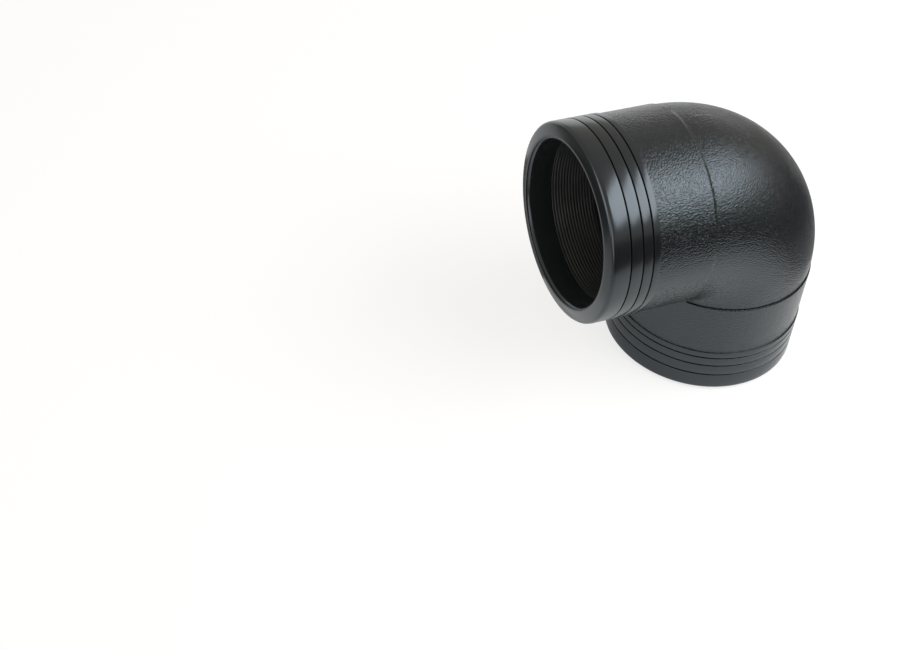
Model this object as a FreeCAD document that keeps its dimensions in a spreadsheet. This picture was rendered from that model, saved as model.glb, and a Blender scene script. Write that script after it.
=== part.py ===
import FreeCAD, Part
import os
import Sketcher

# A 90 degree electrofusion elbow for polyethylene pipe, in millimetres.
# The lower socket stands on its mouth at z = 0 with its axis on +Z, and the upper socket opens along +X.
# Depths are measured from a socket's mouth, radii from its axis.

SIZES = [
    ("pipe_diameter", 160.0),      # outside diameter of the pipe that each socket takes
    ("bore_play", 0.8),            # how much wider the bore is than the pipe
    ("socket_wall", 16.6),         # wall between the bore and the smooth band
    ("socket_depth", 96.0),        # mouth to the stop that the pipe's end meets
    ("stop_land", 13.4),           # straight passage between the stop and the bend
    ("passage_diameter", 138.0),   # clear way through the bend
    ("inner_corner", 2.1),         # radius of the passage's inner corner
    ("band_length", 51.0),         # smooth band at the mouth
    ("leg_step", 1.0),             # how far the grained leg lies below the band
    ("bend_step", 1.0),            # how far the bend lies below the leg, at the ring line
    ("rim_land", 2.2),             # flat ring at the mouth, beside the entry, that the elbow stands on
    ("rim_fall", 2.3),             # how far the rim's face falls back from there to its outer edge
    ("rim_bevel", 2.0),            # broken outer edge of the mouth
    ("groove_first", 21.3),        # depth of the first groove round the band
    ("groove_second", 33.8),       # depth of the second
    ("groove_third", 44.1),        # depth of the third
    ("groove_width", 1.6),         # a groove at the surface
    ("groove_deep", 1.3),          # a groove at its bottom
    ("entry_play", 4.4),           # how much wider the shallow entry is than the bore
    ("entry_deep", 1.3),           # how far the entry's ledge lies behind the rim
    ("ledge_width", 1.1),          # flat ledge round the entry
    ("lead_in", 2.0),              # length of the chamfer that guides the pipe in
    ("winding_start", 26.8),       # cold zone at the mouth
    ("winding_pitch", 3.15),       # one turn of covered wire
    ("winding_turns", 14.0),       # turns side by side
    ("winding_wall", 2.6),         # thickness of the covered wire's band
    ("seat_gap", 0.05),            # room round a piece that is moulded in
    ("shroud_diameter", 13.0),     # outside of the collar round a terminal
    ("shroud_height", 12.5),       # collar above the smooth band
    ("shroud_root", 4.0),          # how far a boss is sunk into the leg's wall
    ("well_diameter", 9.5),        # inside of the collar
    ("well_depth", 12.5),          # from the collar's rim to its floor
    ("pin_diameter", 4.0),         # terminal pin
    ("pin_below", 3.2),            # pin's tip below the collar's rim
    ("pin_flange", 6.0),           # diameter of the flange that sits on the well's floor
    ("flange_height", 1.2),        # thickness of that flange
    ("tip_bevel", 0.6),            # bevel of the pin's tip
    ("tell_tale_diameter", 11.0),  # boss of the fusion indicator
    ("tell_tale_height", 2.5),     # boss above the smooth band
    ("tell_tale_well", 6.4),       # round recess in that boss
    ("tell_tale_pin", 3.6),        # small peg that rises in the recess when the joint has fused
    ("tell_tale_sunk", 1.0),       # peg's top below the boss
]

# Radii and lengths that several pieces share, each in terms of the sizes above
BORE = "(sizes.pipe_diameter + sizes.bore_play) / 2"
BAND = f"({BORE} + sizes.socket_wall)"
LEG = f"({BAND} - sizes.leg_step)"
BEND = f"({LEG} - sizes.bend_step)"
ENTRY = f"({BORE} + sizes.entry_play / 2)"
LEDGE = f"({ENTRY} - sizes.ledge_width)"
RECESS = f"({BORE} + sizes.winding_wall)"
PASSAGE = "sizes.passage_diameter / 2"
TURN = f"({PASSAGE} + sizes.inner_corner)"
STRAIGHT = "(sizes.socket_depth + sizes.stop_land)"
REACH = f"({STRAIGHT} + {TURN})"
WINDING_END = "(sizes.winding_start + sizes.winding_pitch * sizes.winding_turns)"

# Places along a socket of what stands on its flank: a pin over the first and the last turn, the indicator between
FIRST_TURN = "(sizes.winding_start + sizes.winding_pitch / 2)"
LAST_TURN = f"({WINDING_END} - sizes.winding_pitch / 2)"
MIDDLE_TURN = f"((sizes.winding_start + {WINDING_END}) / 2)"

# Distances of the bosses' faces from the plane through both axes
BOSS_ROOT = f"({LEG} - sizes.shroud_root)"
SHROUD_RIM = f"({BAND} + sizes.shroud_height)"
WELL_FLOOR = f"({SHROUD_RIM} - sizes.well_depth)"
TELL_TALE_RIM = f"({BAND} + sizes.tell_tale_height)"


os.makedirs("parts", exist_ok=True)
doc = FreeCAD.newDocument("electrofusion_elbow")
sheet = doc.addObject("Spreadsheet::Sheet", "sizes")
for row, (alias, size) in enumerate(SIZES, start=1):
    sheet.set(f"A{row}", alias)
    sheet.set(f"B{row}", str(size))
    sheet.setAlias(f"B{row}", alias)
doc.recompute()


def value(expression):
    return float(sheet.evalExpression(expression))


def upper(depth, radius):
    """A point of the upper socket's section, on the plane through both axes."""
    return f"{REACH} - ({depth})", f"{REACH} + ({radius})"


def lower(depth, radius):
    """The same point of the lower socket's section."""
    return f"{radius}", f"{depth}"


def new_body(label):
    body = doc.addObject("PartDesign::Body", label)
    body.Label = label
    return body


def new_sketch(body, name, role, away="0"):
    """An empty sketch on an origin plane of its own body, or parallel to it and some way along its normal."""
    sketch = body.newObject("Sketcher::SketchObject", name)
    plane = next(item for item in body.Origin.OriginFeatures if item.Role == role)
    sketch.AttachmentSupport = (plane, [""])
    sketch.MapMode = "FlatFace"
    sketch.setExpression("AttachmentOffset.Base.z", away)
    return sketch


def dimension(sketch, kind, geometry, point, expression):
    """Ties one coordinate of a point, or one radius, to an expression on the sheet."""
    if kind == "Radius":
        index = sketch.addConstraint(Sketcher.Constraint(kind, geometry, value(expression)))
    else:
        index = sketch.addConstraint(Sketcher.Constraint(kind, -1, 1, geometry, point, value(expression)))
    sketch.setExpression(f"Constraints[{index}]", expression)


def fix(sketch, geometry, point, place):
    dimension(sketch, "DistanceX", geometry, point, place[0])
    dimension(sketch, "DistanceY", geometry, point, place[1])


def vector(place):
    return FreeCAD.Vector(value(place[0]), value(place[1]), 0)


def section(body, name, corners):
    """A closed outline of straight lines on the plane through both axes."""
    sketch = new_sketch(body, name, "XZ_Plane")
    for start, end in zip(corners, corners[1:] + corners[:1]):
        sketch.addGeometry(Part.LineSegment(vector(start), vector(end)), False)
    for index, corner in enumerate(corners):
        following = (index + 1) % len(corners)
        sketch.addConstraint(Sketcher.Constraint("Coincident", index, 2, following, 1))
        fix(sketch, index, 1, corner)
    return sketch


def axis_line(sketch, start, end):
    """A construction line to turn a profile about."""
    index = sketch.addGeometry(Part.LineSegment(vector(start), vector(end)), True)
    fix(sketch, index, 1, start)
    fix(sketch, index, 2, end)


def turn(body, kind, name, sketch, axis, angle=360.0, backward=False):
    feature = body.newObject(f"PartDesign::{kind}", name)
    feature.Profile = sketch
    feature.ReferenceAxis = (sketch, [axis])
    feature.Angle = angle
    feature.Reversed = backward
    feature.Refine = False
    return feature


def turned_about_socket(body, kind, name, points, socket):
    """A socket's section, given as depths and radii, turned once round that socket's axis."""
    sketch = section(body, f"{name}_section", [socket(*point) for point in points])
    if socket is lower:
        return turn(body, kind, name, sketch, "V_Axis")
    axis_line(sketch, upper(STRAIGHT, "0"), upper("0", "0"))
    return turn(body, kind, name, sketch, "Axis0")


def circles(body, name, away, places, diameters):
    """Circles on a plane parallel to the one through both axes, on the flank that carries the terminals."""
    sketch = new_sketch(body, name, "XZ_Plane", away)
    for place in places:
        for diameter in diameters:
            radius = f"{diameter} / 2"
            index = sketch.addGeometry(Part.Circle(vector(place), FreeCAD.Vector(0, 0, 1), value(radius)), False)
            dimension(sketch, "Radius", index, 0, radius)
            fix(sketch, index, 3, place)
    return sketch


def extrude(body, kind, name, sketch, length):
    feature = body.newObject(f"PartDesign::{kind}", name)
    feature.Profile = sketch
    feature.setExpression("Length", length)
    feature.Refine = False
    return feature


def groove_points(depth):
    """A fine V-shaped groove round the smooth band."""
    return [
        (f"{depth} - sizes.groove_width / 2", BAND),
        (depth, f"{BAND} - sizes.groove_deep"),
        (f"{depth} + sizes.groove_width / 2", BAND),
    ]


def leg_points():
    """Outside of one leg, from the mouth to the ring line where the bend begins."""
    points = [
        ("0", "0"),
        ("0", f"{ENTRY} + sizes.rim_land"),
        ("sizes.rim_fall", f"{BAND} - sizes.rim_bevel"),
        ("sizes.rim_fall + sizes.rim_bevel", BAND),
    ]
    for depth in ("sizes.groove_first", "sizes.groove_second", "sizes.groove_third"):
        points += groove_points(depth)
    return points + [
        ("sizes.band_length", BAND),
        ("sizes.band_length", LEG),
        (STRAIGHT, LEG),
        (STRAIGHT, "0"),
    ]


def bore_points():
    """Inside of one leg: shallow entry, ledge, lead-in, bore with the winding's recess, pipe stop and passage."""
    lead_in_end = "(sizes.entry_deep + sizes.lead_in)"
    return [
        ("0", "0"),
        ("0", ENTRY),
        ("sizes.entry_deep", ENTRY),
        ("sizes.entry_deep", LEDGE),
        (lead_in_end, BORE),
        ("sizes.winding_start", BORE),
        ("sizes.winding_start", RECESS),
        (WINDING_END, RECESS),
        (WINDING_END, BORE),
        ("sizes.socket_depth", BORE),
        ("sizes.socket_depth", PASSAGE),
        (STRAIGHT, PASSAGE),
        (STRAIGHT, "0"),
    ]


def bend_section(body, name):
    """The bend's section at the upper ring line, cut off by the axis that the bend turns about. Its circle is
    drawn as four arcs that meet at the crown, on the mould's parting line, and at the flanks."""
    sketch = new_sketch(body, name, "YZ_Plane", TURN)
    half_chord = f"sqrt(({BEND}) ^ 2 - ({TURN}) ^ 2)"
    middle = vector(("0", REACH))
    corners = [
        (half_chord, STRAIGHT),
        (BEND, REACH),
        ("0", f"{REACH} + {BEND}"),
        (f"-{BEND}", REACH),
        (f"-{half_chord}", STRAIGHT),
    ]
    for start, end in zip(corners, corners[1:]):
        outward = vector(start) + vector(end) - middle * 2
        outward.normalize()
        bulge = middle + outward * value(BEND)
        sketch.addGeometry(Part.Arc(vector(start), bulge, vector(end)), False)
    sketch.addGeometry(Part.LineSegment(vector(corners[-1]), vector(corners[0])), False)
    for index in range(len(corners)):
        following = (index + 1) % len(corners)
        sketch.addConstraint(Sketcher.Constraint("Coincident", index, 2, following, 1))
    fix(sketch, 0, 3, ("0", REACH))
    dimension(sketch, "Radius", 0, 0, BEND)
    for index in range(1, 4):
        sketch.addConstraint(Sketcher.Constraint("Coincident", 0, 3, index, 3))
    dimension(sketch, "DistanceY", 0, 1, STRAIGHT)
    dimension(sketch, "DistanceY", 1, 1, REACH)
    dimension(sketch, "DistanceX", 2, 1, "0")
    dimension(sketch, "DistanceY", 3, 1, REACH)
    dimension(sketch, "DistanceY", 4, 1, STRAIGHT)
    axis_line(sketch, corners[-1], corners[0])
    return sketch


def passage_section(body, name):
    """The round clear way at the upper ring line."""
    sketch = new_sketch(body, name, "YZ_Plane", TURN)
    sketch.addGeometry(Part.Circle(vector(("0", REACH)), FreeCAD.Vector(0, 0, 1), value(PASSAGE)), False)
    dimension(sketch, "Radius", 0, 0, PASSAGE)
    fix(sketch, 0, 3, ("0", REACH))
    axis_line(sketch, (f"-{PASSAGE}", STRAIGHT), (PASSAGE, STRAIGHT))
    return sketch


def make_elbow_body():
    """The one moulding: two legs and a bend, hollowed, with its terminal shrouds and fusion indicators."""
    body = new_body("elbow_body")
    turned_about_socket(body, "Revolution", "upper_leg", leg_points(), upper)
    turned_about_socket(body, "Revolution", "lower_leg", leg_points(), lower)
    turn(body, "Revolution", "bend", bend_section(body, "bend_section"), "Axis0", 90.0, True)

    terminals = [upper(FIRST_TURN, "0"), upper(LAST_TURN, "0"), lower(FIRST_TURN, "0"), lower(LAST_TURN, "0")]
    tell_tales = [upper(MIDDLE_TURN, "0"), lower(MIDDLE_TURN, "0")]
    shrouds = circles(body, "shroud_circles", BOSS_ROOT, terminals, ["sizes.shroud_diameter"])
    extrude(body, "Pad", "shrouds", shrouds, f"{SHROUD_RIM} - {BOSS_ROOT}")
    bosses = circles(body, "tell_tale_circles", BOSS_ROOT, tell_tales, ["sizes.tell_tale_diameter"])
    extrude(body, "Pad", "tell_tales", bosses, f"{TELL_TALE_RIM} - {BOSS_ROOT}")

    turned_about_socket(body, "Groove", "upper_bore", bore_points(), upper)
    turned_about_socket(body, "Groove", "lower_bore", bore_points(), lower)
    turn(body, "Groove", "passage", passage_section(body, "passage_section"), "Axis0", 90.0, True)

    wells = circles(body, "well_circles", SHROUD_RIM, terminals, ["sizes.well_diameter"])
    extrude(body, "Pocket", "wells", wells, "sizes.well_depth")
    pin_holes = circles(body, "pin_hole_circles", WELL_FLOOR, terminals,
                        ["(sizes.pin_diameter + 2 * sizes.seat_gap)"])
    extrude(body, "Pocket", "pin_holes", pin_holes, f"{WELL_FLOOR} - ({RECESS} + {BORE}) / 2")
    rings = circles(body, "tell_tale_wells", TELL_TALE_RIM, tell_tales,
                    ["sizes.tell_tale_well", "sizes.tell_tale_pin"])
    extrude(body, "Pocket", "tell_tale_rings", rings, "sizes.tell_tale_height")
    pegs = circles(body, "tell_tale_pegs", TELL_TALE_RIM, tell_tales, ["sizes.tell_tale_pin"])
    extrude(body, "Pocket", "tell_tale_tops", pegs, "sizes.tell_tale_sunk")
    return body


def make_winding(label, socket):
    """A close-wound band of covered wire, flush with the bore."""
    body = new_body(label)
    start = "(sizes.winding_start + sizes.seat_gap)"
    end = f"({WINDING_END} - sizes.seat_gap)"
    outside = f"({RECESS} - sizes.seat_gap)"
    points = [(start, outside), (start, BORE), (end, BORE), (end, outside)]
    turned_about_socket(body, "Revolution", f"{label}_band", points, socket)
    return body


def make_terminal(label, place):
    """A turned pin: its root meets the winding, its flange sits on the well's floor, its tip takes the plug."""
    body = new_body(label)
    radius = "sizes.pin_diameter / 2"
    floor = f"({WELL_FLOOR} - {RECESS})"
    tip = f"({SHROUD_RIM} - sizes.pin_below - {RECESS})"
    corners = [
        ("0", "0"),
        (radius, "0"),
        (radius, floor),
        ("sizes.pin_flange / 2", floor),
        ("sizes.pin_flange / 2", f"{floor} + sizes.flange_height"),
        (radius, f"{floor} + sizes.flange_height"),
        (radius, f"{tip} - sizes.tip_bevel"),
        (f"{radius} - sizes.tip_bevel", tip),
        ("0", tip),
    ]
    turn(body, "Revolution", f"{label}_turning", section(body, f"{label}_section", corners), "V_Axis")
    body.Placement.Rotation = FreeCAD.Rotation(FreeCAD.Vector(1, 0, 0), 90)
    body.setExpression("Placement.Base.x", place[0])
    body.setExpression("Placement.Base.y", f"-({RECESS})")
    body.setExpression("Placement.Base.z", place[1])
    return body


def check_features(body):
    """Every feature is sound, and each one adds or takes away material as its kind says."""
    before = 0.0
    for feature in body.Group:
        if "Invalid" in feature.State or "Error" in feature.State:
            raise RuntimeError(f"{body.Label}: {feature.Name} failed")
        if feature.TypeId == "Sketcher::SketchObject":
            continue
        after = feature.Shape.Volume
        adds = feature.TypeId in ("PartDesign::Revolution", "PartDesign::Pad")
        if adds != (after > before):
            raise RuntimeError(f"{body.Label}: {feature.Name} points the wrong way")
        before = after


bodies = [make_elbow_body()]
for socket_name, socket in (("upper", upper), ("lower", lower)):
    bodies.append(make_winding(f"{socket_name}_winding", socket))
    bodies.append(make_terminal(f"{socket_name}_outer_terminal", socket(FIRST_TURN, "0")))
    bodies.append(make_terminal(f"{socket_name}_inner_terminal", socket(LAST_TURN, "0")))
doc.recompute()

for item in doc.Objects:
    if "Invalid" in item.State or "Error" in item.State:
        raise RuntimeError(f"{item.Name} failed")
for body in bodies:
    check_features(body)
    shape = body.Shape
    if shape.isNull() or not shape.isValid() or len(shape.Solids) != 1:
        raise RuntimeError(f"{body.Label} is not one sound solid")
for body in bodies:
    body.Shape.exportStep(f"parts/{body.Label}.step")
    print(f"{body.Label}: {body.Shape.Volume / 1000:.1f} cm3")
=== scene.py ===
# %% [markdown]
# # A black electrofusion elbow
#
# The object is a 90 degree pipe elbow, moulded in one shot from black polyethylene. Each socket takes a
# plain pipe end. A close-wound wire lies in the wall of each bore, and current through it melts the two
# plastics together. The elbow stands on its lower mouth, with that socket's axis on +Z. The upper socket
# opens along +X.
#
# Almost everything that the eye reads on black plastic is reflection, so two things matter most here:
# edges with the right small radii, and the grain that the mould leaves on the legs and the bend but not
# on the smooth bands.

import bpy
import numpy as np
from mathutils import Matrix


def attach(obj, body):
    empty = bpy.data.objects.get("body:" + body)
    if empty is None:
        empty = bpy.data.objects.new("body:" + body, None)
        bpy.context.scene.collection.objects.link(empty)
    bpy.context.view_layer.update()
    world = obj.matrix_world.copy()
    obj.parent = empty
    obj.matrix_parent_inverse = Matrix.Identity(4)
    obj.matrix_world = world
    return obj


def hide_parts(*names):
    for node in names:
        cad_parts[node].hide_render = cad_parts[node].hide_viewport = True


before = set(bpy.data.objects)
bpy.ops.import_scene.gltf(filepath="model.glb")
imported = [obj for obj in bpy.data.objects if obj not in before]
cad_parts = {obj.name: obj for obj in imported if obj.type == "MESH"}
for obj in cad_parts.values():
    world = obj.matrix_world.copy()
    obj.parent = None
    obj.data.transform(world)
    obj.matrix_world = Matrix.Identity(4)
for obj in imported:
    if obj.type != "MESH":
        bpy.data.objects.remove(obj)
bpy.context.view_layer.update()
print("nodes:", sorted(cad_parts))

# %% [markdown]
# ## Sizes
#
# The mesh code below works in millimetres, as a mould maker would, and turns into metres once, when a mesh
# is made. These are the lengths that the solids have. First come radii: bore, smooth band, grained leg and
# bend, then the steps of the mouth, the winding's recess and the passage behind the stop. Most of the others
# are depths from a socket's mouth along its axis. TURN is the radius of the elbow's turn, and PITCH is the
# way from one turn of wire to the next.

# %% Sizes in millimetres
BORE, BAND, LEG, BEND = 80.4, 97.0, 96.0, 95.0
ENTRY, LEDGE, RECESS, PASSAGE = 82.6, 81.5, 83.0, 69.0
RIM_MIDDLE, RIM_LAND = 83.7, 84.8
RIM_FALL, BAND_END, SOCKET_DEPTH = 2.75, 51.0, 96.0
LEDGE_DEPTH, LEAD_IN_END = 1.3, 3.3
STRAIGHT, TURN = 109.4, 71.1
REACH = STRAIGHT + TURN
GROOVES = (21.3, 33.8, 44.1)
WINDING_START, PITCH, TURNS = 26.8, 3.15, 14
WINDING_END = WINDING_START + PITCH * TURNS
print("mouth to the other axis:", REACH, "mm; winding ends at", WINDING_END, "mm")

# %% [markdown]
# ## A mesh from a grid of points
#
# Every new piece is a surface of two parameters: rows run along the piece, columns run round it. The
# points are worked out as whole arrays, and this helper joins neighbours into quads. A piece that closes
# on itself in both directions, like a tyre, has no edge anywhere, which is what the body needs: outside,
# rim, bore, bend and back.

# %% Grid to mesh
MM = 0.001


def grid_faces(rows, columns, close_rows, close_columns):
    """Quads between neighbours (i, j), (i, j+1), (i+1, j+1) and (i+1, j), with indices wrapped where it
    closes."""
    i = np.arange(rows if close_rows else rows - 1)
    j = np.arange(columns if close_columns else columns - 1)
    i, j = np.meshgrid(i, j, indexing="ij")
    i2, j2 = (i + 1) % rows, (j + 1) % columns
    corners = (i * columns + j, i * columns + j2, i2 * columns + j2, i2 * columns + j)
    return np.stack(corners, axis=-1).reshape(-1, 4)


def mesh_object(name, points, face_blocks):
    """An object at the origin, shaded smooth, from points in millimetres and blocks of faces. All faces of
    a block have the same number of corners."""
    mesh = bpy.data.meshes.new(name)
    points = points.reshape(-1, 3) * MM
    mesh.from_pydata(points.tolist(), [], sum((block.tolist() for block in face_blocks), []))
    mesh.shade_smooth()
    mesh.update()
    piece = bpy.data.objects.new(name, mesh)
    bpy.context.collection.objects.link(piece)
    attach(piece, "root")
    triangles = sum(len(block) * (block.shape[1] - 2) for block in face_blocks)
    print(f"{name}: {len(points)} points, {triangles} triangles")
    return piece


def add_attribute(piece, name, values):
    """One number for each point, which a material can read."""
    layer = piece.data.attributes.new(name, "FLOAT", "POINT")
    layer.data.foreach_set("value", values.astype(np.float32).ravel())


# %% [markdown]
# ## The profile of one socket
#
# Cut the elbow along the plane through both axes and the same outline shows at both ends: a rim with a
# small radius, three fine grooves in a smooth band, a step down to the grained leg, and inside it a shallow
# entry with a ledge, a lead-in for the pipe, the bore, and the stop that the pipe's end meets. It could be a
# stack of cylinders, but then every edge would be knife sharp. Here it is one list of corners, each a depth,
# a radius and a fillet, with a short arc in place of each corner, because an edge radius of half a
# millimetre is what catches the light. The grooves go deeper here than in the solids, so that they read as
# dark as real ones.

# %% Rounded profiles
def rounded(corners, steps=4):
    """Points along straight runs, with an arc at each corner that has a fillet. The arc is the quadratic
    curve (1 - t) squared times its first point, plus 2 t (1 - t) times the corner, plus t squared times its
    last point. It takes up less than half of either run."""
    corners = [np.array(corner, float) for corner in corners]
    line = [corners[0][:2]]
    for before, here, after in zip(corners, corners[1:], corners[2:]):
        if not here[2]:
            line.append(here[:2])
            continue
        back, ahead = before[:2] - here[:2], after[:2] - here[:2]
        reach = min(here[2], 0.45 * np.linalg.norm(back), 0.45 * np.linalg.norm(ahead))
        start = here[:2] + back / np.linalg.norm(back) * reach
        end = here[:2] + ahead / np.linalg.norm(ahead) * reach
        t = np.linspace(0, 1, steps)[:, None]
        line.extend((1 - t) ** 2 * start + 2 * t * (1 - t) * here[:2] + t ** 2 * end)
    line.append(corners[-1][:2])
    return np.array(line)


GROOVE_HALF_WIDTH, GROOVE_DEEP, GROOVE_HALF_FLOOR = 0.8, 2.2, 0.05


def groove(depth):
    """Corners of one V groove round the band: crisp lips and a small radius at its bottom."""
    bottom = BAND - GROOVE_DEEP
    return [(depth - GROOVE_HALF_WIDTH, BAND, 0.15), (depth - GROOVE_HALF_FLOOR, bottom, 0.1),
            (depth + GROOVE_HALF_FLOOR, bottom, 0.1), (depth + GROOVE_HALF_WIDTH, BAND, 0.15)]


outer_corners = [(0, RIM_MIDDLE, 0), (0, RIM_LAND, 1.0), (RIM_FALL, BAND, 3.5), (12, BAND, 0)]
for depth in GROOVES:
    outer_corners += groove(depth)
outer_corners += [(BAND_END, BAND, 0.25), (BAND_END, LEG, 0.2), (BAND_END + 1.5, LEG, 0)]
band_line = rounded(outer_corners)

inner_corners = [(SOCKET_DEPTH + 1.5, PASSAGE, 0), (SOCKET_DEPTH, PASSAGE, 1.2), (SOCKET_DEPTH, BORE, 0.6),
                 (WINDING_END, BORE, 0.2), (WINDING_END, RECESS, 0.2), (WINDING_START, RECESS, 0.2),
                 (WINDING_START, BORE, 0.3), (14, BORE, 0), (LEAD_IN_END, BORE, 0.8),
                 (LEDGE_DEPTH, LEDGE, 0.3), (LEDGE_DEPTH, ENTRY, 0.2), (0, ENTRY, 0.4), (0, RIM_MIDDLE, 0)]
bore_line = rounded(inner_corners)
print("band outline:", len(band_line), "points; bore outline:", len(bore_line), "points")

# %% [markdown]
# ## Round the sockets and round the bend
#
# For one angle round the pipe, the outside is a line: along the lower leg, round the bend, along the upper
# leg. A socket's rows are circles about its axis. The bend's rows turn about the bend's own axis. These
# functions give points for a whole block of rows at once, so each angle's line is one column of the mesh.

# %% Rows of points
COLUMNS = 288
angle = np.linspace(0, 2 * np.pi, COLUMNS, endpoint=False)


def soft_max(value, floor, blend):
    """The larger of value and floor, with a rounded change-over: floor plus blend times the logarithm of
    1 plus e to the power of (value less floor) over blend."""
    return floor + blend * np.logaddexp(0, (value - floor) / blend)


def smooth_step(value, start, end):
    """0 before start, 1 after end, and between them 3 t squared less 2 t cubed, where t is the share of the
    way."""
    t = np.clip((value - start) / (end - start), 0, 1)
    return t * t * (3 - 2 * t)


def lower_socket(depth, radius):
    """Circles at a depth along +Z from the lower mouth. Angle 0 faces the inside of the bend, +X."""
    return np.stack([radius * np.cos(angle), radius * np.sin(angle), depth + 0 * angle], axis=-1)


def upper_socket(depth, radius):
    """Circles at a depth along -X from the upper mouth. Angle 0 faces the inside of the bend, -Z."""
    along = REACH - depth + 0 * angle
    return np.stack([along, radius * np.sin(angle), REACH - radius * np.cos(angle)], axis=-1)


def bend_rows(radius, distance, turns):
    """Rows at some turns about the bend's axis. Each angle has an arc of its own distance. Its centre lies
    on the mitre plane, at the radius times the cosine of the angle plus that distance."""
    centre = radius * np.cos(angle) + distance
    out = centre - np.outer(np.cos(turns), distance)
    up = REACH - centre + np.outer(np.sin(turns), distance)
    sideways = np.broadcast_to(radius * np.sin(angle), out.shape)
    return np.stack([out, sideways, up], axis=-1)


def all_round(values):
    """One value for each row, the same at every angle."""
    return np.repeat(np.reshape(values, (-1, 1)), COLUMNS, axis=1)


print("columns:", COLUMNS, "so one every", round(2 * np.pi * BAND / COLUMNS, 2), "mm round the band")

# %% [markdown]
# ## Where the legs meet the bend
#
# The bend's arc has a distance of TURN minus radius times the cosine of the angle. On the inside of the bend
# that distance would fall below zero, because the legs are wider than the turn is tight. There the two legs
# simply meet in a mitre, and only a millimetre of fillet is left in the corner. So the distance goes smoothly
# to that fillet, and the leg's length follows from it. That gives the sharp crotch of the real one with no
# boolean, and neat quads all the way.
#
# The legs are a millimetre wider than the bend, so a ring line shows at each end of it. The upper one is a
# plain step. The lower one reads darker on the real elbow, as if cut in, so it is a narrow crease, and
# painted shade in the material darkens it further.

# %% Bend, passage and ring lines
FILLET, FILLET_BLEND = 1.0, 0.35
MITRE_FROM, MITRE_FULL = 3.5, 0.5
LEG_ROWS, BEND_TURNS, PASSAGE_TURNS = 9, 57, 37
LEG_START, RING_GAP, RING_ROOM, MITRE_ROOM = BAND_END + 2.5, 0.5, 1.0, 0.2
RING_STEP = ((0.18, 0.0, 0.0), (0.05, 0.12, 0.12), (0.0, 0.4, 0.4), (0.0, 0.75, 0.75),
             (-0.08, 0.97, 0.97))
RING_CREASE = ((1.15, 0.0, 0.0), (0.95, 0.2, 0.1), (0.45, 2.2, 0.3), (0.3, 2.3, 0.5), (-0.05, 1.1, 0.97))

mitre = smooth_step(LEG * np.cos(angle), TURN - MITRE_FROM, TURN - MITRE_FULL)
bend_radius = BEND + (LEG - BEND) * mitre
bend_distance = soft_max(TURN - bend_radius * np.cos(angle), FILLET, FILLET_BLEND)
leg_end = REACH - bend_radius * np.cos(angle) - bend_distance
passage_distance = TURN - PASSAGE * np.cos(angle)

before_ring = leg_end - RING_GAP - RING_ROOM * (1 - mitre)
leg_depths = LEG_START + np.linspace(0, 1, LEG_ROWS)[:, None] * (before_ring - LEG_START)


def ring_rows(steps):
    """Depths and radii of the rows from leg to bend. A step is (way back, share, order): the way back from
    the leg's end, the share of the fall from the leg's radius to the bend's, and, in the mitre where nothing
    falls, the place in the order of rows."""
    way_back, share, order = np.array(steps).T[:, :, None]
    depths = leg_end - way_back * (1 - mitre) - MITRE_ROOM * mitre * (1 - order)
    return depths, LEG + share * (bend_radius - LEG)


def outside_rows(socket, steps):
    """Rows of one socket from the middle of its rim to the bend: band, leg and ring line."""
    ring_depths, ring_radii = ring_rows(steps)
    depths = np.concatenate([all_round(band_line[:, 0]), leg_depths, ring_depths])
    radii = np.concatenate([all_round(band_line[:, 1]), np.full_like(leg_depths, LEG), ring_radii])
    return socket(depths, radii)


print("mitre over", int((mitre > 0).sum()), "of", COLUMNS, "columns; shortest leg:",
      round(leg_end.min(), 2), "mm")

# %% [markdown]
# ## The body as one closed surface
#
# The rows go from the lower rim up the outside, round the bend and out to the upper rim, then in along the
# upper bore, round the passage and down the lower bore, back to where they began.
#
# The mesh also carries three numbers at each point: grained or smooth, which the mould did, inside the bore
# behind the ledge or not, where painted light lifts the bore's black, and how much painted shade darkens a
# groove or the lower ring crease.

# %% The body
GRAIN_START = BAND_END + 0.1
# Behind this depth the bore's black is lifted by painted light.
BEHIND_LEDGE = 2.5
# Painted shade: the lower crease's value for each of its rows, and where and how fast a groove darkens.
CREASE_SHADE = (0, 0.8, 1, 1, 0.3)
GROOVE_SHADE_FROM, GROOVE_SHADE_OVER, GROOVE_MARGIN = 0.05, 0.4, 5

turn_rows = bend_rows(bend_radius, bend_distance, np.linspace(0, np.pi / 2, BEND_TURNS)[1:-1])
passage_rows = bend_rows(PASSAGE, passage_distance, np.linspace(np.pi / 2, 0, PASSAGE_TURNS))
body_points = np.concatenate([
    outside_rows(lower_socket, RING_CREASE),
    turn_rows,
    outside_rows(upper_socket, RING_STEP)[::-1],
    upper_socket(bore_line[:, :1], bore_line[:, 1:])[::-1][1:],
    passage_rows,
    lower_socket(bore_line[:, :1], bore_line[:, 1:])[:-1]])


def body_marks(band, legs, crease, bore, passage):
    """Values at every point in the order of the body's rows. The legs, the bend and the upper ring line
    share one value. The band, the crease and the bore have one for each of their rows."""
    leg = np.full(LEG_ROWS, legs)
    lower = np.concatenate([band, leg, crease])
    upper = np.concatenate([band, leg, np.full(len(RING_STEP), legs)])
    return all_round(np.concatenate([
        lower, np.full(len(turn_rows), legs), upper[::-1],
        bore[::-1][1:], np.full(len(passage_rows), passage), bore[:-1]]))


band_depth, band_radius = band_line.T
no_band, no_bore, no_crease = np.zeros(len(band_line)), np.zeros(len(bore_line)), np.zeros(len(CREASE_SHADE))
grained_band = 1.0 * (band_depth > GRAIN_START)
behind_ledge = 1.0 * (bore_line[:, 0] > BEHIND_LEDGE)
among_grooves = (band_depth > GROOVES[0] - GROOVE_MARGIN) * (band_depth < GROOVES[-1] + GROOVE_MARGIN)
# Painted shade in the grooves, growing with a point's depth under the band.
groove_painted_shade_rows = np.clip((BAND - band_radius - GROOVE_SHADE_FROM) / GROOVE_SHADE_OVER, 0, 1) * among_grooves

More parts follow.
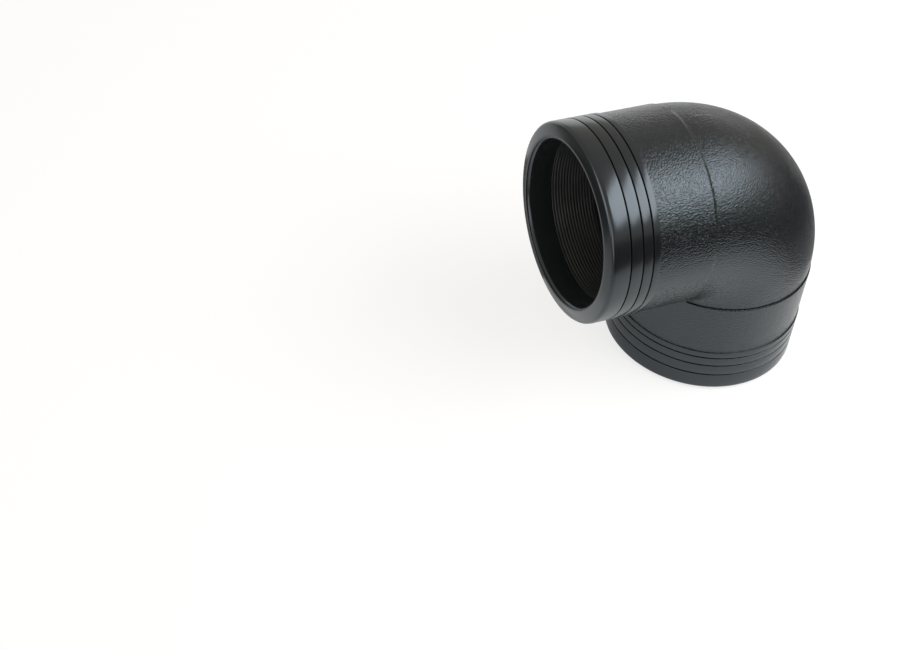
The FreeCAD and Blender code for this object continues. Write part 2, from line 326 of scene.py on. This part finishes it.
body = mesh_object("moulded_body", body_points, [grid_faces(len(body_points), COLUMNS, True, True)])
add_attribute(body, "grain", body_marks(grained_band, 1.0, no_crease + 1, no_bore, 0.0))
# The inside attribute marks where the bore gets painted light.
add_attribute(body, "inside", body_marks(no_band, 0.0, no_crease, behind_ledge, 1.0))
# The groove attribute carries painted shade for the grooves and the lower crease.
add_attribute(body, "groove", body_marks(groove_painted_shade_rows, 0.0, CREASE_SHADE, no_bore, 0.0))
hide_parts("elbow_body")
print("rows:", len(body_points))

# %% [markdown]
# ## The fusion windings
#
# A wire with its own plastic cover is wound turn against turn round the core before the body is moulded over
# it, so the bore shows a band of fine ridges. A tube swept along a helix would do, but it needs many faces.
# Only the inner half of each turn shows, so one ring is enough: its inner radius rises and falls with the
# depth, and the pattern slips by one turn for each time round, which makes it a true helix.
#
# The lower socket is the upper one mirrored, which turns a ring inside out. So the lower ring's faces list
# their corners the other way round, and both rings face outwards.

# %% Two ridged rings
AS_MADE, OTHER_WAY_ROUND = [0, 1, 2, 3], [0, 3, 2, 1]
RIDGE, ROWS_PER_TURN = 0.6, 10
END_GAP, BORE_GAP, BACK_GAP = 0.06, 0.03, 0.1
FADE, BEVEL, BEVEL_RISE = 1.2, 0.5, 0.45


def winding_rows(socket):
    """Inside: bore radius plus RIDGE times (2 f - 1) squared, where f is the fraction of a turn, that is
    depth over pitch less angle over a whole turn. It fades to a plain rounded edge at both ends. Outside:
    the recess."""
    start, end = WINDING_START + END_GAP, WINDING_END - END_GAP
    depth = np.linspace(start, end, TURNS * ROWS_PER_TURN + 1)[:, None]
    fraction = np.mod((depth - start) / PITCH - angle / (2 * np.pi), 1)
    from_edge = np.minimum(depth - start, end - depth)
    bevel = BEVEL_RISE * (1 - smooth_step(from_edge, 0, BEVEL))
    ridges = RIDGE * smooth_step(from_edge, 0, FADE) * (2 * fraction - 1) ** 2
    front = socket(depth, BORE + BORE_GAP + bevel + ridges)
    back = socket(np.array([[end], [start]]), np.full((2, 1), RECESS - BACK_GAP))
    return np.concatenate([front, back])


windings = []
for name, socket, corner_order in (("upper_winding_turns", upper_socket, AS_MADE),
                                   ("lower_winding_turns", lower_socket, OTHER_WAY_ROUND)):
    rows = winding_rows(socket)
    faces = grid_faces(len(rows), COLUMNS, True, True)[:, corner_order]
    piece = mesh_object(name, rows, [faces])
    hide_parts(name.replace("_turns", ""))
    windings.append(piece)

# %% [markdown]
# ## Terminals and fusion indicators
#
# Two round collars stand on each socket's flank, each with a metal pin inside, and the welding machine's
# leads push on to them. Between them a small boss holds a peg that rises once the joint has fused. They are
# turned shapes: a profile carried round an axis. The foot of each one flares a little and follows the curve
# of the socket, as a moulded fillet does, instead of cutting it along a hard line.

# %% Turned shapes on the flank
TURN_COLUMNS = 56
FOOT_TOP, FLARE_TOP = 0.2, 2.2


def turned(name, places, profile):
    """A place is (x, z, 1 on the upright lower socket or 0 on the upper one), and a profile point is (radius,
    height over the band). Each row is a circle about a line along -Y through the place. Low rows follow the
    band, whose distance from the middle plane at an offset w across the socket's axis is the square root of
    BAND squared less w squared. High rows are flat. Both ends close on a middle point."""
    x, z, stands = np.array(places, float).T[:, :, None, None]
    radius, height = profile[:, :1], profile[:, 1:]
    turn = np.linspace(0, 2 * np.pi, TURN_COLUMNS, endpoint=False)
    east, north = radius * np.cos(turn), radius * np.sin(turn)
    curved = np.sqrt(BAND ** 2 - np.where(stands, east, north) ** 2)
    flat = smooth_step(height, FOOT_TOP, FLARE_TOP)
    y = -(BAND * flat + curved * (1 - flat) + height)
    rings = np.stack(np.broadcast_arrays(x + east, y, z + north), axis=-1)
    middles = rings[:, [0, -1]].mean(axis=2)
    points = np.concatenate([rings.reshape(len(places), -1, 3), middles], axis=1)

    count = len(profile) * TURN_COLUMNS
    quads = grid_faces(len(profile), TURN_COLUMNS, False, True)
    foot = np.arange(TURN_COLUMNS)
    top = foot + count - TURN_COLUMNS
    foot_cap = np.stack([np.full_like(foot, count), np.roll(foot, -1), foot], axis=-1)
    top_cap = np.stack([top, np.roll(top, -1), np.full_like(top, count + 1)], axis=-1)
    first = np.arange(len(places))[:, None, None] * (count + 2)
    caps = first + np.concatenate([foot_cap, top_cap])
    return mesh_object(name, points, [(first + quads).reshape(-1, 4), caps.reshape(-1, 3)])


# %% [markdown]
# The pins stand over the first and the last turn of each winding, where its two wire ends come out, and the
# indicator stands half-way between. The profiles start under the surface, so no gap shows at a foot.

# %% Collars, indicators and pins
FIRST_TURN = WINDING_START + PITCH / 2
LAST_TURN = WINDING_END - PITCH / 2
MIDDLE_TURN = (WINDING_START + WINDING_END) / 2
upper_places = [(REACH - FIRST_TURN, REACH, 0), (REACH - LAST_TURN, REACH, 0)]
lower_places = [(0, FIRST_TURN, 1), (0, LAST_TURN, 1)]
middle_places = [(REACH - MIDDLE_TURN, REACH, 0), (0, MIDDLE_TURN, 1)]

collar = rounded([(7.9, -2.0, 0), (7.5, -0.3, 0.6), (6.5, 1.0, 1.2), (6.5, 12.5, 0.5), (4.75, 12.5, 0.4),
                  (4.75, 0.25, 0.5), (1.2, 0.25, 0)], 5)
collars = turned("terminal_collars", upper_places + lower_places, collar)

indicator = rounded([(6.6, -2.0, 0), (6.2, -0.3, 0.5), (5.5, 0.7, 0.7), (5.5, 2.5, 0.4), (3.2, 2.5, 0.3),
                     (3.2, 0.25, 0.3), (1.8, 0.25, 0.2), (1.8, 1.5, 0.35), (0.3, 1.55, 0)], 5)
indicators = turned("fusion_indicators", middle_places, indicator)

pin_line = rounded([(0.3, -14, 0), (2.0, -14, 0.3), (2.0, 0.25, 0.1), (3.0, 0.25, 0.1), (3.0, 1.2, 0.3),
                    (2.0, 1.2, 0.1), (2.0, 5.5, 0), (2.0, 9.3, 0.7), (0.3, 9.3, 0)], 5)
pins = []
for name, place in (("upper_outer_terminal", upper_places[0]), ("upper_inner_terminal", upper_places[1]),
                    ("lower_outer_terminal", lower_places[0]), ("lower_inner_terminal", lower_places[1])):
    pin = turned(name + "_pin", [place], pin_line)
    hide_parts(name)
    pins.append(pin)

# %% [markdown]
# ## Shader maths in plain Python
#
# A material is a small program. Written as nodes by hand it is hard to read, so a socket is wrapped in a
# class that knows arithmetic: an expression on wrapped sockets adds the Math nodes. Every other node comes
# from one method, for the sky as well as for the materials.

# %% Sockets that know arithmetic
class Signal:
    """A number or vector that varies over the surface: an output socket whose operators add Math nodes."""

    def __init__(self, finish, socket):
        self.finish, self.socket = finish, socket

    def combine(self, operation, first, second=0.0):
        return self.finish.add("ShaderNodeMath", {"operation": operation}, {0: first, 1: second})["Value"]

    def __add__(self, other):
        return self.combine("ADD", self, other)

    def __sub__(self, other):
        return self.combine("SUBTRACT", self, other)

    def __rsub__(self, other):
        return self.combine("SUBTRACT", other, self)

    def __mul__(self, other):
        return self.combine("MULTIPLY", self, other)

    def __abs__(self):
        return self.combine("ABSOLUTE", self)

    def largest(self, other):
        return self.combine("MAXIMUM", self, other)

    __radd__ = __add__
    __rmul__ = __mul__


class Finish:
    """The nodes of a material, or of the world round the elbow, while they are being laid."""

    def __init__(self, owner):
        self.owner = owner
        owner.use_nodes = True
        self.tree = owner.node_tree
        self.tree.nodes.clear()

    def add(self, kind, settings=None, inputs=None):
        """Adds a node of a kind, with its settings first and then its sockets' values or links. It returns
        the outputs by name, each wrapped as a Signal."""
        node = self.tree.nodes.new(kind)
        for key, value in (settings or {}).items():
            setattr(node, key, value)
        for key, value in (inputs or {}).items():
            if isinstance(value, Signal):
                self.tree.links.new(value.socket, node.inputs[key])
            else:
                node.inputs[key].default_value = value
        return {output.name: Signal(self, output) for output in node.outputs if output.enabled}

    def ramp(self, value, low, high, to_low=0.0, to_high=1.0):
        """value carried from the range low to high on to another range, and held at its ends."""
        return self.add("ShaderNodeMapRange", {"clamp": True}, {
            "Value": value, "From Min": low, "From Max": high, "To Min": to_low, "To Max": to_high})["Result"]

    def noise(self, where, scale, detail, roughness):
        """Uneven grey from 0 to 1, with about one patch in every metre over scale."""
        return self.add("ShaderNodeTexNoise", {}, {
            "Vector": where, "Scale": scale, "Detail": detail, "Roughness": roughness})["Fac"]

    def blend(self, factor, first, second):
        """A colour between the first, at factor 0, and the second, at factor 1."""
        return self.add("ShaderNodeMix", {"data_type": "RGBA"}, {0: factor, 6: first, 7: second})["Result"]

    def close(self, shader):
        """Joins a shader to the output, and gives back the finished material or world."""
        world = isinstance(self.owner, bpy.types.World)
        self.add("ShaderNodeOutputWorld" if world else "ShaderNodeOutputMaterial", {}, {"Surface": shader})
        return self.owner


def new_finish(name, slot_colour):
    """An empty material. The slot's colour is what Blender shows for it outside a render."""
    material = bpy.data.materials.new(name)
    material.diffuse_color = (*slot_colour, 1)
    return Finish(material)


# %% [markdown]
# ## Black polyethylene, satin and grained
#
# The whole body is one black, and two surfaces of the same mould: the bands, the rim and the bore are
# satin, and the legs and the bend have the fine pebbled grain of an eroded mould. The grain is too fine for
# mesh, so it is a bump from noise at about a millimetre, switched by the attribute that the mesh carries.
# Small flecks in the colour go with it, painted shade and painted glints at random, which stand in for
# light lost between the pebbles and caught on their tops. A much weaker and wider noise gives the satin parts
# the slight unevenness of moulded plastic.
#
# Three more details are added to it. A short straight mark runs along the crown of the bend, finer than the
# mesh, so it is a narrow trough in the same bump. Hardly any light comes back out of a groove, so another
# attribute mixes in painted shade there, a plain dark surface, and in the lower ring crease as well. And the
# bore behind the ledge gets a lighter black, painted light that stands in for the light bounced about inside
# it.

# %% The body's finish
PEBBLE_SCALE, FLECK_SCALE, PEEL_SCALE, CLOUD_SCALE = 720, 900, 90, 14
BUMP_UNIT = 0.00016
GRAIN_RISE, PEEL_RISE, MARK_DEPTH = 3.7, 0.12, 4.0
MARK_Y, MARK_HALF_WIDTH = -0.0118, 0.0006
MARK_X, MARK_HALF_LENGTH, CROWN_Z = 0.024, 0.03, 0.2
DEEP_BLACK, PLAIN_BLACK = (0.007, 0.0078, 0.0088, 1), (0.009, 0.01, 0.011, 1)
# The next two colours paint random flecks of shade and glint into the grain's colour.
FLECK_PAINTED_SHADE, FLECK_PAINTED_GLINT = (0.0, 0.0, 0.001, 1), (0.013, 0.0145, 0.017, 1)
# Next: the bore's black lifted by painted light, for the light bounced about inside it, and the dark colour
# of the grooves' painted shade.
BORE_PAINTED_LIGHT, GROOVE_PAINTED_SHADE = (0.02, 0.025, 0.0265, 1), (0.003, 0.0035, 0.004, 1)
# How much of the grooves' painted shade their deepest rows get.
GROOVE_SHADE = 0.85
SATIN, WORN_SATIN = 0.19, 0.24


def crown_mark(finish, where):
    """1 in the middle of the mark. It falls evenly to 0 at either side, and within a millimetre or two at
    the ends and off the crown."""
    parts = finish.add("ShaderNodeSeparateXYZ", {}, {0: where})
    line = finish.ramp(abs(parts["Y"] - MARK_Y), 0, MARK_HALF_WIDTH, 1, 0)
    along = finish.ramp(abs(parts["X"] - MARK_X), MARK_HALF_LENGTH, MARK_HALF_LENGTH + 0.001, 1, 0)
    return line * (finish.ramp(parts["Z"], CROWN_Z, CROWN_Z + 0.002) * along)


def black_plastic(name):
    """Satin black all over, with grain, painted light in the bore and painted shade in the grooves and the
    lower crease, switched by the mesh's attributes.
    """
    finish = new_finish(name, (0.02, 0.021, 0.023))
    where = finish.add("ShaderNodeTexCoord")["Object"]
    grained = finish.add("ShaderNodeAttribute", {"attribute_name": "grain"})["Fac"]
    # This attribute marks where the bore's black is lifted by painted light.
    inside = finish.add("ShaderNodeAttribute", {"attribute_name": "inside"})["Fac"]
    # This attribute carries painted shade for the grooves and the lower crease.
    painted_shade_share = finish.add("ShaderNodeAttribute", {"attribute_name": "groove"})["Fac"]

    pebbles = finish.noise(where, PEBBLE_SCALE, 0.5, 0.5)
    # Painted flecks of shade and glint, standing in for light lost between pebbles and caught on their tops.
    painted_flecks = finish.ramp(finish.noise(where, FLECK_SCALE, 0.6, 0.5), 0.4, 0.6) * grained
    peel = finish.noise(where, PEEL_SCALE, 2.0, 0.5)
    clouds = finish.noise(where, CLOUD_SCALE, 3.0, 0.55)

    height = pebbles * grained * GRAIN_RISE + peel * PEEL_RISE - crown_mark(finish, where) * MARK_DEPTH
    bump = finish.add("ShaderNodeBump", {}, {"Strength": 1.0, "Distance": BUMP_UNIT, "Height": height})
    smooth_tone = finish.blend(finish.ramp(clouds, 0.35, 0.7), DEEP_BLACK, PLAIN_BLACK)
    outer_tone = finish.blend(grained, smooth_tone, finish.blend(painted_flecks, FLECK_PAINTED_SHADE, FLECK_PAINTED_GLINT))
    # Behind the ledge, the bore's black is lifted by painted light.
    shader = finish.add("ShaderNodeBsdfPrincipled", {}, {
        "Base Color": finish.blend(inside, outer_tone, BORE_PAINTED_LIGHT),
        "Roughness": finish.ramp(clouds, 0.3, 0.7, SATIN, WORN_SATIN), "Normal": bump["Normal"],
        "IOR": 1.5, "Specular IOR Level": 0.75, "Specular Tint": (0.87, 1.0, 1.09, 1)})
    # Painted shade: a plain dark diffuse surface, mixed in where the groove attribute says.
    dark = finish.add("ShaderNodeBsdfDiffuse", {}, {"Color": GROOVE_PAINTED_SHADE})
    depth = painted_shade_share * GROOVE_SHADE
    shaded = finish.add("ShaderNodeMixShader", {}, {0: depth, 1: shader["BSDF"], 2: dark["BSDF"]})
    return finish.close(shaded["Shader"])


body_material = black_plastic("black_polyethylene")
for piece in (body, collars, indicators):
    piece.data.materials.append(body_material)
print("bump in mm: grain up to", round(1000 * BUMP_UNIT * GRAIN_RISE, 2), "and crown mark",
      round(1000 * BUMP_UNIT * MARK_DEPTH, 2))

# %% [markdown]
# ## The wire's cover
#
# The winding's cover is a plastic of its own, extruded over the wire, and it shows a little duller and
# lighter than the body. The ridges are mesh, and the bump only adds a faint unevenness along them.

# %% The winding's finish
def wire_cover(name):
    """Dull black with faint clouds, in colour and in gloss."""
    finish = new_finish(name, (0.022, 0.02, 0.022))
    where = finish.add("ShaderNodeTexCoord")["Object"]
    clouds = finish.noise(where, 40, 3.0, 0.6)
    rough = finish.ramp(clouds, 0.3, 0.7, 0.3, 0.42)
    uneven = finish.noise(where, 300, 2.0, 0.5)
    bump = finish.add("ShaderNodeBump", {}, {"Strength": 1.0, "Distance": 0.00005, "Height": uneven})
    tone = finish.blend(finish.ramp(clouds, 0.35, 0.7), (0.028, 0.0305, 0.032, 1), (0.042, 0.0455, 0.048, 1))
    shader = finish.add("ShaderNodeBsdfPrincipled", {}, {
        "Base Color": tone, "Roughness": rough, "Normal": bump["Normal"], "Specular IOR Level": 0.6,
        "IOR": 1.5})
    return finish.close(shader["BSDF"])


wire_material = wire_cover("covered_wire")
for piece in windings:
    piece.data.materials.append(wire_material)
print("windings finished:", len(windings))

# %% [markdown]
# ## Brass pins
#
# The pins are turned from brass and left bare, because the leads must make contact. Handling leaves them
# brighter in one place and duller in another, so fine noise varies the colour and the gloss together.

# %% The pins' finish
def turned_brass(name):
    """Metal with small patches, in colour and in gloss."""
    finish = new_finish(name, (0.72, 0.62, 0.38))
    where = finish.add("ShaderNodeTexCoord")["Object"]
    clouds = finish.noise(where, 500, 3.0, 0.6)
    rough = finish.ramp(clouds, 0.3, 0.7, 0.18, 0.32)
    tone = finish.blend(finish.ramp(clouds, 0.35, 0.7), (0.66, 0.52, 0.26, 1), (0.74, 0.62, 0.36, 1))
    shader = finish.add("ShaderNodeBsdfPrincipled", {}, {
        "Base Color": tone, "Metallic": 1.0, "Roughness": rough})
    return finish.close(shader["BSDF"])


brass = turned_brass("turned_brass")
for pin in pins:
    pin.data.materials.append(brass)
print("pins finished:", len(pins))

# %% [markdown]
# ## The floor
#
# The floor is a plain white sheet. The camera should see it as white with a soft shadow, while the elbow
# should neither be flooded with light from it nor mirror a dull grey. Light Path tells the kinds of ray
# apart. The camera gets mostly an even white, mirror rays get the lit floor, lifted a little near the elbow
# and darker far away, and the light that the floor throws on the elbow is that of plain white card.

# %% Floor
MIRRORED_LIFT = 0.26
SEEN_SHARE, SEEN_WHITE = 0.32, 0.76
NEAR, FAR = 0.3, 0.85


def floor_material():
    """For the camera, a lit share plus an even white. For mirror rays, the lit floor with a lift that ends
    between NEAR and FAR metres from the elbow's foot. For all others, plain diffuse white."""
    finish = new_finish("pale_floor", (0.9, 0.9, 0.9))
    path = finish.add("ShaderNodeLightPath")
    mirrored = path["Is Glossy Ray"].largest(path["Is Transmission Ray"])
    where = finish.add("ShaderNodeTexCoord")["Object"]
    away = finish.add("ShaderNodeVectorMath", {"operation": "LENGTH"}, {0: where})["Value"]
    plain = finish.add("ShaderNodeBsdfDiffuse", {}, {"Color": (0.8, 0.8, 0.8, 1)})["BSDF"]
    far = finish.add("ShaderNodeBsdfDiffuse", {}, {"Color": (0.3, 0.3, 0.3, 1)})["BSDF"]
    lift = finish.add("ShaderNodeEmission", {}, {"Color": (0.92, 1, 1.05, 1), "Strength": MIRRORED_LIFT})
    near = finish.add("ShaderNodeAddShader", {}, {0: plain, 1: lift["Emission"]})["Shader"]
    fading = finish.ramp(away, NEAR, FAR)
    lifted = finish.add("ShaderNodeMixShader", {}, {0: fading, 1: near, 2: far})["Shader"]
    lit = finish.add("ShaderNodeBsdfDiffuse", {}, {"Color": (SEEN_SHARE, SEEN_SHARE, SEEN_SHARE, 1)})["BSDF"]
    even = finish.add("ShaderNodeEmission", {}, {"Color": (1, 1, 1, 1), "Strength": SEEN_WHITE})["Emission"]
    white = finish.add("ShaderNodeAddShader", {}, {0: lit, 1: even})["Shader"]
    unseen = finish.add("ShaderNodeMixShader", {}, {0: mirrored, 1: plain, 2: lifted})["Shader"]
    seen = finish.add("ShaderNodeMixShader", {}, {0: path["Is Camera Ray"], 1: unseen, 2: white})["Shader"]
    return finish.close(seen)


def flat_piece(name, corners, material):
    """One quad from four corners in metres, kept out of the object."""
    mesh = bpy.data.meshes.new(name)
    mesh.from_pydata(corners, [], [[0, 1, 2, 3]])
    piece = bpy.data.objects.new(name, mesh)
    bpy.context.collection.objects.link(piece)
    mesh.materials.append(material)
    return piece


floor = flat_piece("floor", [(-8, -8, 0), (8, -8, 0), (8, 8, 0), (-8, 8, 0)], floor_material())
print("floor:", [round(v, 1) for v in floor.dimensions])

# %% [markdown]
# ## The soft box
#
# Black plastic shows its lights more than itself. One large soft box, to the right of the camera and above,
# makes the broad grey patch on the flank. A second lamp would put a second patch there, so there is only one.

# %% Soft box
AIM = np.array([0.03, 0.0, 0.17])


def pose(right, up, back, place):
    """The matrix whose columns are an object's own X, Y and Z directions and its place."""
    matrix = np.eye(4)
    matrix[:3] = np.stack([right, up, back, place], axis=-1)
    return Matrix(matrix.tolist())


def soft_box(name, azimuth, elevation, distance, width, height, radiance, colour):
    """An area light that faces the elbow's middle, from an azimuth from +X towards +Y and an elevation in
    degrees. Its power is pi times its area times the radiance wanted."""
    light = bpy.data.lights.new(name, "AREA")
    light.shape, light.size, light.size_y = "RECTANGLE", width, height
    light.energy = np.pi * width * height * radiance
    light.color = colour
    turn, rise = np.radians([azimuth, elevation])
    out = np.array([np.cos(turn) * np.cos(rise), np.sin(turn) * np.cos(rise), np.sin(rise)])
    side = np.cross([0, 0, 1], out)
    side /= np.linalg.norm(side)
    lamp = bpy.data.objects.new(name, light)
    lamp.matrix_world = pose(side, np.cross(out, side), out, AIM + distance * out)
    lamp.visible_camera = False
    bpy.context.collection.objects.link(lamp)
    print(f"{name}: {round(light.energy, 1)} W")
    return lamp


soft_box("key", azimuth=136, elevation=49, distance=1.5, width=1.5, height=0.9, radiance=4.35,
         colour=(0.97, 1.0, 1.02))

# %% [markdown]
# ## Cards for the reflections
#
# A product photographer shapes black things with cards: dark ones cut the dark bands beside the highlight,
# and pale ones lift an edge or the underside. Real cards would also shade the floor and show in the picture,
# so these are met by mirror rays only. Walls stand on the floor, and mats lie just over it.

# %% Walls and mats
MAT_HEIGHT = 0.002
WALLS = {
    "dark_wall_behind": ((-0.34, -0.12), (-0.34, 0.64), 0.26, 0.12),
    "dark_wall_beside": ((-0.34, 0.64), (0.6, 0.64), 0.36, 0.04),
    "pale_reflector": ((1.25, 0.5), (0.8, 1.1), 0.75, 2.0),
    "pale_wall_far": ((-1.3, -1.1), (0.6, -1.1), 0.4, 1.1),
    "edge_card": ((1.5, -0.5), (1.5, 0.3), 0.7, 2.6)}
MATS = {
    "dark_mat_before": ((0.49, -0.52), (1.1, -0.09), 0.05),
    "dim_mat_beside": ((0.1, -0.34), (0.25, -0.1), 0.18),
    "dim_mat_behind": ((-0.46, -0.32), (-0.2, 0.24), 0.35),
    "pale_mat_far": ((-0.02, -1.05), (0.48, -0.36), 0.8),
    "bright_mat_far": ((-0.4, -1.05), (-0.04, -0.55), 1.05),
    "pale_mat_near": ((0.2, -0.06), (0.31, 0.05), 1.05)}


def card(name, corners, strength):
    """A card of one even brightness that only mirror rays meet: it neither shades nor lights anything."""
    finish = new_finish(name, (1, 1, 1))
    glow = finish.add("ShaderNodeEmission", {}, {"Color": (1, 1, 1, 1), "Strength": strength})
    piece = flat_piece(name, corners, finish.close(glow["Emission"]))
    piece.visible_camera = piece.visible_diffuse = piece.visible_shadow = piece.visible_transmission = False
    return piece


for name, (start, end, height, strength) in WALLS.items():
    card(name, [(*start, 0), (*end, 0), (*end, height), (*start, height)], strength)
for name, ((low_x, low_y), (high_x, high_y), strength) in MATS.items():
    flat = [(low_x, low_y), (high_x, low_y), (high_x, high_y), (low_x, high_y)]
    card(name, [(*corner, MAT_HEIGHT) for corner in flat], strength)
print("cards:", len(WALLS) + len(MATS))

# %% [markdown]
# ## The sky
#
# The world gives the rest of the light, even and a little warm. Where the camera looks past the floor it
# should see the same white as the floor, so camera rays get white and all other rays get the plain sky.

# %% Sky
SKY_COLOUR, SKY_LEVEL = (1.08, 1.0, 0.9, 1), 0.48


def studio_sky():
    """An even sky for the light, and white for the camera."""
    finish = Finish(bpy.data.worlds.new("studio"))
    even = finish.add("ShaderNodeBackground", {}, {"Color": SKY_COLOUR, "Strength": SKY_LEVEL})["Background"]
    white = finish.add("ShaderNodeBackground", {}, {"Color": (1, 1, 1, 1), "Strength": 1.0})["Background"]
    camera_ray = finish.add("ShaderNodeLightPath")["Is Camera Ray"]
    return finish.close(finish.add("ShaderNodeMixShader", {}, {0: camera_ray, 1: even, 2: white})["Shader"])


bpy.context.scene.world = studio_sky()
print("sky level:", SKY_LEVEL)

# %% [markdown]
# ## The camera
#
# The elbow is seen from above its open mouth's side. The place, tilt and lens below were worked out by
# laying the known outline of the elbow over the picture: azimuth, elevation and roll of the camera in
# degrees, its place in metres, and the focal length in pixels of a picture 900 pixels wide.

# %% Camera
AZIMUTH, ELEVATION, ROLL = 152.5891, 43.854, 7.1844
CAMERA_PLACE = (0.859032, 1.105178, 1.274476)
FOCAL_PIXELS, PICTURE_WIDTH, SENSOR_WIDTH = 1799.4, 900, 36

turn, rise, roll = np.radians([AZIMUTH, ELEVATION, ROLL])
back = np.array([np.sin(turn) * np.cos(rise), -np.cos(turn) * np.cos(rise), np.sin(rise)])
level = np.array([np.cos(turn), np.sin(turn), 0])
right = np.cos(roll) * level + np.sin(roll) * np.cross(back, level)

lens = bpy.data.cameras.new("camera")
lens.sensor_width = SENSOR_WIDTH
lens.lens = FOCAL_PIXELS * SENSOR_WIDTH / PICTURE_WIDTH
lens.clip_start, lens.clip_end = 0.05, 50
camera = bpy.data.objects.new("camera", lens)
bpy.context.collection.objects.link(camera)
camera.matrix_world = pose(right, np.cross(back, right), back, CAMERA_PLACE)
bpy.context.scene.camera = camera
bpy.context.scene.view_settings.view_transform = "Standard"
print("lens:", round(lens.lens, 1), "mm")
